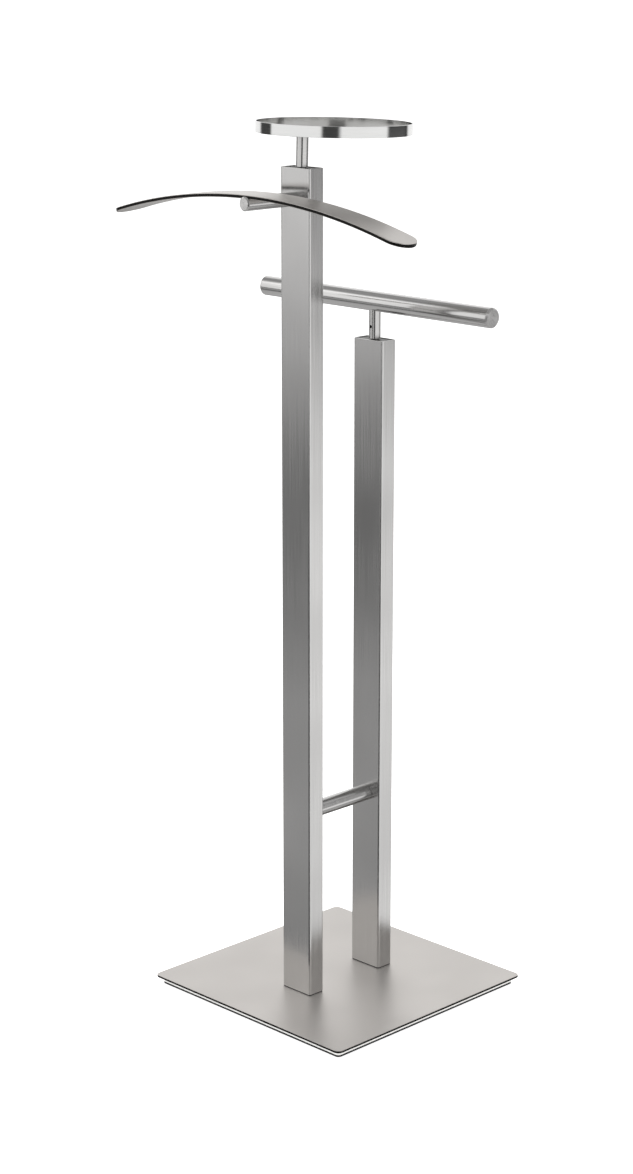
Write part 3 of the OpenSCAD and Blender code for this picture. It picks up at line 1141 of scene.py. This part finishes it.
    def arm(self) -> None:
        """Makes the round arm and mills the flat that the strip is seated on."""
        low, high = extent("hanger_arm")
        strip_low, strip_high = extent("hanger")
        radius, length = (high.x - low.x) / 2, high.y - low.y
        c = self.arm_chamfer
        profile = [(0, 0), (radius, 0), (radius, length - c), (radius - c, length), (0, length)]
        shell = turned(Shell(), eased(profile, 0.12 * MM), Grain.AROUND)
        place = Matrix.Translation(
            Vector((0, high.y, low.z + radius))
        ) @ Matrix.Rotation(math.pi / 2, 4, "X")
        piece = shell.piece("hanger_arm_turned", self.finishes.rod, place)
        seat = strip_high.z - self.thickness - self.seat_gap
        block = Shell()
        x, gap, top = radius * 1.5, self.seat_gap, high.z + radius
        corners = [
            Vector((sx * x, y, z))
            for z in (seat, top)
            for sx, y in (
                (-1, strip_low.y - gap),
                (1, strip_low.y - gap),
                (1, strip_high.y + gap),
                (-1, strip_high.y + gap),
            )
        ]
        block.skin([corners[:4], corners[4:]], [0, 1, 2, 3, 4], [0, 1])
        for four in (corners[:4], corners[4:]):
            block.face([block.mesh.verts.new(p) for p in four], [(0, 0)] * 4)
        cut(piece, block.piece("seat_mill", self.finishes.rod))
        place_piece(piece, Body.STAND, "brushed_rods", "hanger_arm")

    def screws(self) -> None:
        """Makes the two screws that hold the strip from below."""
        low, high = extent("hanger_screws")
        screw = SocketScrew(
            self.screw_d, high.z - low.z, 1.7 * self.screw_d, 0.7 * self.screw_d, 4 * MM, True
        )
        row = ScrewRow(
            "hanger_screws_socket",
            screw.build("hanger_screw", self.finishes.fastener, 36),
            1,
            0.0,
            2,
            self.screw_pitch,
        )
        centre = Vector((0, (low.y + high.y) / 2, low.z))
        piece = row.build(self.finishes.fastener, Matrix.Translation(centre))
        place_piece(piece, Body.STAND, "fastener_steel", "hanger_screws")

    def build(self) -> None:
        """Makes and dresses the hanger."""
        self.strip()
        self.arm()
        self.screws()


@dataclass
class SwivelTray:
    """The round tray on its leaning stem."""

    finishes: Finishes
    edge_break: float = 0.3 * MM
    rim_wall: float = 1.5 * MM
    screw_d: float = 6 * MM
    place: Matrix = field(init=False)

    def __post_init__(self) -> None:
        """Takes the tray's axes from its joint."""
        joint = next(j for j in frame["joints"] if j["child"] == Body.TRAY.value)
        self.place = frame_on(Vector(joint["pos_m"]), Vector(joint["axis"]))

    def at(self, node: str) -> tuple[Vector, Vector, Matrix]:
        """Measures a node in the tray's axes.

        Args:
            node: the node's name.

        Returns:
            Its lowest and highest corner there, and the axes moved to its middle, at the
            bottom.
        """
        low, high = extent(node, self.place)
        middle = Vector(((low.x + high.x) / 2, (low.y + high.y) / 2, low.z))
        return low, high, self.place @ Matrix.Translation(middle)

    def rim(self) -> None:
        """Makes the buffed band."""
        low, high, place = self.at("tray_rim")
        radius, height = (high.x - low.x) / 2, high.z - low.z
        profile = hoop(radius, radius - self.rim_wall, height, self.edge_break)
        shell = turned(Shell(), profile, Grain.AROUND, 256)
        piece = shell.piece("tray_rim_band", self.finishes.band, place)
        place_piece(piece, Body.TRAY, "polished_band", "tray_rim")

    def floor(self) -> None:
        """Makes the sheet in the rim."""
        low, high, place = self.at("tray_floor")
        radius, height = (high.x - low.x) / 2, high.z - low.z
        profile = [(0, 0), (radius, 0), (radius, height), (0, height)]
        shell = turned(Shell(), eased(profile, 0.2 * MM), Grain.AROUND, 192)
        piece = shell.piece("tray_floor_sheet", self.finishes.tray, place)
        place_piece(piece, Body.TRAY, "tray_sheet", "tray_floor")

    def stem(self) -> None:
        """Makes the turned stem, with the hole for its grub screw at the back."""
        low, high, place = self.at("tray_stem")
        radius, height = (high.x - low.x) / 2, high.z - low.z
        profile = [(0, 0), (radius, 0), (radius, height - 0.1 * MM), (0, height - 0.1 * MM)]
        shell = turned(Shell(), eased(profile, 0.25 * MM), Grain.AROUND, 72)
        piece = shell.piece("tray_stem_turned", self.finishes.rod, place)
        grub_hole(piece, "tray_grub_screw", self.finishes)
        place_piece(piece, Body.TRAY, "brushed_rods", "tray_stem")

    def flange(self) -> None:
        """Makes the disc under the sheet."""
        low, high, place = self.at("tray_flange")
        radius, height = (high.x - low.x) / 2, high.z - low.z
        stem_low, stem_high = extent("tray_stem", self.place)
        bore = (stem_high.x - stem_low.x) / 2 + 0.02 * MM
        shell = turned(Shell(), hoop(radius, bore, height, self.edge_break), Grain.AROUND)
        piece = shell.piece("tray_flange_disc", self.finishes.rod, place)
        place_piece(piece, Body.TRAY, "inner_steel", "tray_flange")

    def screw(self) -> None:
        """Makes the button head screw in the tray's floor."""
        low, high, _ = self.at("tray_screw")
        washer_low, washer_high, _ = self.at("tray_washer")
        head = SocketScrew(
            self.screw_d,
            washer_high.z - low.z,
            1.8 * self.screw_d,
            high.z - washer_high.z,
            4 * MM,
        ).build("tray_screw_one", self.finishes.fastener)
        row = ScrewRow("tray_screw_button", head, 1, 0.0)
        seat = Vector(((low.x + high.x) / 2, (low.y + high.y) / 2, washer_high.z))
        place = self.place @ Matrix.Translation(seat) @ Matrix.Rotation(math.pi, 4, "X")
        piece = row.build(self.finishes.fastener, place)
        place_piece(piece, Body.TRAY, "fastener_steel", "tray_screw")

    def build(self) -> None:
        """Makes and dresses the tray."""
        self.rim()
        self.floor()
        self.stem()
        self.flange()
        self.screw()
        dress("tray_washer", self.finishes.fastener)
        dress("tray_grub_screw", self.finishes.black_steel)
        dress("tray_pin", self.finishes.machined)


@dataclass
class TrouserBar:
    """The round bar with its end caps, on a stem that is coped to it."""

    finishes: Finishes
    wall: float = 1.5 * MM
    cap_head: float = 3 * MM
    cap_chamfer: float = 2 * MM
    edge_break: float = 0.12 * MM

    def tube(self) -> None:
        """Makes the bar's tube."""
        low, high = extent("trouser_bar")
        radius, length = (high.z - low.z) / 2, high.x - low.x
        profile = hoop(radius, radius - self.wall, length, self.edge_break)
        shell = turned(Shell(), profile, Grain.ALONG, 128)
        piece = shell.piece("trouser_bar_tube", self.finishes.bar, self.lying(low.x))
        place_piece(piece, Body.BAR, "brushed_rods", "trouser_bar")

    def lying(self, x: float, turn: float = math.pi / 2) -> Matrix:
        """Makes axes on the bar's centre line.

        Args:
            x: the place along the bar.
            turn: the turn about Y, which points Z along the bar one way or the other.

        Returns:
            The axes.
        """
        low, high = extent("trouser_bar")
        centre = Vector((x, (low.y + high.y) / 2, (low.z + high.z) / 2))
        return Matrix.Translation(centre) @ Matrix.Rotation(turn, 4, "Y")

    def cap(self, side: str, sign: int) -> None:
        """Makes one turned end cap.

        Args:
            side: "left" or "right".
            sign: -1 for the left end and 1 for the right.
        """
        node = "bar_cap_" + side
        low, high = extent(node)
        radius = (high.z - low.z) / 2
        c, head, length = self.cap_chamfer, self.cap_head, high.x - low.x
        spigot = radius - self.wall - 0.05 * MM
        profile = [(0, 0), (radius - c, 0), (radius, c), (radius, head - self.edge_break)]
        profile += [(radius - self.edge_break, head), (spigot, head), (spigot, length), (0, length)]
        shell = turned(Shell(), profile, Grain.AROUND, 96)
        outer = high.x if sign > 0 else low.x
        place = self.lying(outer, -sign * math.pi / 2)
        piece = shell.piece(node + "_turned", self.finishes.rod, place)
        place_piece(piece, Body.BAR, "brushed_rods", node)

    def stem(self) -> None:
        """Makes the stem, whose top follows the bar's underside."""
        low, high = extent("bar_stem")
        bar_low, bar_high = extent("trouser_bar")
        radius, bar_r = (high.x - low.x) / 2, (bar_high.z - bar_low.z) / 2
        axis_z, y = (bar_high.z + bar_low.z) / 2, (low.y + high.y) / 2
        steps, e = 96, 0.25 * MM
        angles = [2 * math.pi * j / steps for j in range(steps)]

        def ring(r: float, z: float | None) -> list[Vector]:
            """Lists a level ring, or one that lies on the bar where z is None."""
            made = []
            for a in angles:
                x_at, y_at = r * math.cos(a), r * math.sin(a)
                top = axis_z - math.sqrt(bar_r**2 - y_at**2)
                made.append(Vector((x_at, y + y_at, top if z is None else z)))
            return made

        rings = [ring(0, low.z), ring(radius - e, low.z), ring(radius, low.z + e)]
        rings += [ring(radius, None), ring(radius * 0.5, None), ring(0, None)]
        side = axis_z - low.z
        along = [0, radius, radius + e, radius + side, 1.5 * radius + side, 2 * radius + side]
        shell = Shell()
        shell.skin(rings, [radius * a for a in [*angles, 2 * math.pi]], along, swap=True)
        piece = shell.piece("bar_stem_turned", self.finishes.rod)
        grub_hole(piece, "bar_grub_screw", self.finishes)
        place_piece(piece, Body.BAR, "brushed_rods", "bar_stem")

    def build(self) -> None:
        """Makes and dresses the bar."""
        self.tube()
        self.cap("left", -1)
        self.cap("right", 1)
        self.stem()
        dress("bar_grub_screw", self.finishes.black_steel)
        dress("bar_pin", self.finishes.machined)


def grub_hole(stem: bpy.types.Object, node: str, finishes: Finishes) -> None:
    """Drills a stem for its grub screw, from the side that the screw is on.

    Args:
        stem: the stem's piece.
        node: the grub screw's node.
        finishes: the stand's finishes.
    """
    low, high = extent(node)
    radius = (high.x - low.x) / 2 + 0.05 * MM
    back = high.y > max(v.co.y for v in stem.data.vertices) - 2 * MM
    deep, mouth = (low.y, high.y + 3 * MM) if back else (high.y, low.y - 3 * MM)
    profile = [(0, 0), (radius, 0), (radius, abs(mouth - deep)), (0, abs(mouth - deep))]
    place = Matrix.Translation(Vector((0, deep, (low.z + high.z) / 2))) @ Matrix.Rotation(
        -math.pi / 2 if back else math.pi / 2, 4, "X"
    )
    cut(stem, turned(Shell(), profile, Grain.AROUND, 32).piece("drill", finishes.rod, place))


def dress(node: str, finish: bpy.types.Material) -> None:
    """Gives a carried-over node of the frame its finish."""
    data = frame["nodes"][node].data
    data.materials.clear()
    data.materials.append(finish)


def join(name: str, parts: Sequence[bpy.types.Object]) -> bpy.types.Object:
    """Joins pieces into one mesh.

    Args:
        name: the name of the piece that they become.
        parts: the pieces, which are deleted.

    Returns:
        The joined piece.
    """
    together = bmesh.new()
    for part in parts:
        together.from_mesh(part.data)
    data = bpy.data.meshes.new(name)
    together.to_mesh(data)
    together.free()
    data.materials.append(parts[0].data.materials[0])
    piece = bpy.data.objects.new(name, data)
    bpy.context.scene.collection.objects.link(piece)
    for part in parts:
        bpy.data.objects.remove(part)
    return piece


# ---------------------------------------------------------------- studio


@dataclass(frozen=True)
class Panel:
    """A soft panel of the studio, seen by the steel, as a window of directions.

    Turns are in degrees round the stand from the camera's own side, positive to its right.
    Heights are in degrees above the horizon.
    """

    turn: Point2
    height: Point2
    strength: float
    soft: Point2 = (6.0, 6.0)
    both_sides: bool = False


@dataclass
class Studio:
    """The floor, the soft light and the camera."""

    camera_at: Vector = field(default_factory=lambda: Vector((2.2222, -2.2465, 1.3710)))
    camera_turn: float = math.radians(45.191)
    camera_dip: float = math.radians(14.763)
    lens: float = 79.332
    sensor: float = 36.0
    white: float = 0.99
    panels: tuple[Panel, ...] = (
        # a big softbox on the left, and the pale ground below it
        Panel((-104, -18), (-9.5, 36), 1.05, (3.0, 4.0)),
        Panel((-118, -60), (-24, -15), 0.42, (8.0, 4.0)),
        # a big softbox on the right, and the pale ground beside it
        Panel((8, 84), (-27, 36), 1.05, (4.0, 6.0)),
        Panel((84, 125), (-27, -9), 0.95, (6.0, 5.0)),
        # the pale walls behind the stand, the ceiling and the ground
        Panel((134, 200), (-20, 40), 1.05, (5.0, 6.0), both_sides=True),
        Panel((100, 134), (4, 40), 0.9, (8.0, 6.0), both_sides=True),
        Panel((-200, 200), (44, 120), 0.38),
        Panel((-200, 200), (-120, -31), 0.5),
    )
    base_light: float = 0.07

    def camera(self) -> None:
        """Makes the camera."""
        data = bpy.data.cameras.new("camera")
        data.lens, data.sensor_width = self.lens, self.sensor
        data.clip_end = 200
        made = bpy.data.objects.new("camera", data)
        made.location = self.camera_at
        made.rotation_euler = (math.pi / 2 - self.camera_dip, 0, self.camera_turn)
        bpy.context.scene.collection.objects.link(made)
        bpy.context.scene.camera = made

    def floor(self) -> None:
        """Makes the pale floor, which only takes a faint shadow."""
        shell = Shell()
        half, level = 60.0, -0.2 * MM
        corners = [(-half, -half), (half, -half), (half, half), (-half, half)]
        shell.face([shell.mesh.verts.new((x, y, level)) for x, y in corners], corners)
        finish = bpy.data.materials.new("pale_floor_paint")
        finish.use_nodes = True
        tree = finish.node_tree
        tree.nodes.clear()
        shader = add_node(
            tree,
            "ShaderNodeBsdfPrincipled",
            {
                "Base Color": linear("#F2F2F2"),
                "Roughness": 0.9,
                "Specular IOR Level": 0.0,
                "Emission Color": linear("#FFFFFF"),
                "Emission Strength": 0.72,
            },
        )
        add_node(tree, "ShaderNodeOutputMaterial", {"Surface": shader.outputs[0]})
        made = shell.piece("studio_floor", finish)
        made.visible_glossy = False
        self.floor_light(made)

    def floor_light(self, floor: bpy.types.Object) -> None:
        """Hangs a wide soft light that reaches only the floor."""
        data = bpy.data.lights.new("floor_softbox", "AREA")
        data.shape, data.size, data.size_y = "RECTANGLE", 5.0, 5.0
        data.energy = 150.0
        made = bpy.data.objects.new("floor_softbox", data)
        made.location = (0.6, -0.6, 4.0)
        made.visible_camera = made.visible_glossy = False
        bpy.context.scene.collection.objects.link(made)
        reach = bpy.data.collections.new("floor_only")
        reach.objects.link(floor)
        made.light_linking.receiver_collection = reach

    def world(self) -> None:
        """Surrounds the stand with the soft panels, and shows the camera plain white."""
        made = bpy.data.worlds.new("studio")
        bpy.context.scene.world = made
        made.use_nodes = True
        tree = made.node_tree
        tree.nodes.clear()

        def sum_node(operation: str, *values: Any) -> bpy.types.NodeSocket:
            """Adds one sum and returns its result."""
            return add_node(
                tree, "ShaderNodeMath", dict(enumerate(values)), operation=operation
            ).outputs[0]

        def window(value: bpy.types.NodeSocket, ends: Point2, soft: float) -> bpy.types.NodeSocket:
            """Gives 1 between two limits and 0 outside them, with soft edges."""
            sides = []
            for end, way in ((ends[0], 1), (ends[1], -1)):
                sides.append(
                    add_node(
                        tree,
                        "ShaderNodeMapRange",
                        {
                            "Value": value,
                            "From Min": end - way * soft,
                            "From Max": end + way * soft,
                        },
                        interpolation_type="SMOOTHSTEP",
                    ).outputs[0]
                )
            return sum_node("MULTIPLY", *sides)

        way = add_node(tree, "ShaderNodeTexCoord").outputs["Generated"]
        x, y, z = add_node(tree, "ShaderNodeSeparateXYZ", {0: way}).outputs
        c, s = math.cos(self.camera_turn), math.sin(self.camera_turn)
        ahead = sum_node("SUBTRACT", sum_node("MULTIPLY", x, s), sum_node("MULTIPLY", y, c))
        aside = sum_node("ADD", sum_node("MULTIPLY", x, c), sum_node("MULTIPLY", y, s))
        turn = sum_node("DEGREES", sum_node("ARCTAN2", aside, ahead))
        height = sum_node("DEGREES", sum_node("ARCSINE", z))
        either = sum_node("ABSOLUTE", turn)
        total = self.base_light
        for panel in self.panels:
            seen = window(either if panel.both_sides else turn, panel.turn, panel.soft[0])
            level = sum_node("MULTIPLY", seen, window(height, panel.height, panel.soft[1]))
            total = sum_node("ADD", total, sum_node("MULTIPLY", level, panel.strength))
        studio = add_node(
            tree, "ShaderNodeBackground", {"Color": linear("#FFFFFF"), "Strength": total}
        )
        plain = add_node(
            tree, "ShaderNodeBackground", {"Color": linear("#FFFFFF"), "Strength": self.white}
        )
        seen_plain = add_node(
            tree,
            "ShaderNodeMixShader",
            {
                0: add_node(tree, "ShaderNodeLightPath").outputs["Is Camera Ray"],
                1: studio.outputs[0],
                2: plain.outputs[0],
            },
        )
        add_node(tree, "ShaderNodeOutputWorld", {"Surface": seen_plain.outputs[0]})

    def build(self) -> None:
        """Makes the studio."""
        view = bpy.context.scene.view_settings
        view.view_transform, view.look = "Standard", "None"
        self.camera()
        self.floor()
        self.world()


def main() -> None:
    """Builds the stand and the studio."""
    logging.basicConfig(level=logging.INFO, format="%(name)s: %(message)s")
    finishes = Finishes()
    WeightedBase(finishes).build()
    Post(finishes, "tall").build()
    Post(finishes, "short").build()
    PostLinks(finishes).build()
    CoatHanger(finishes).build()
    SwivelTray(finishes).build()
    TrouserBar(finishes).build()
    Studio().build()


if __name__ == "__main__":
    main()
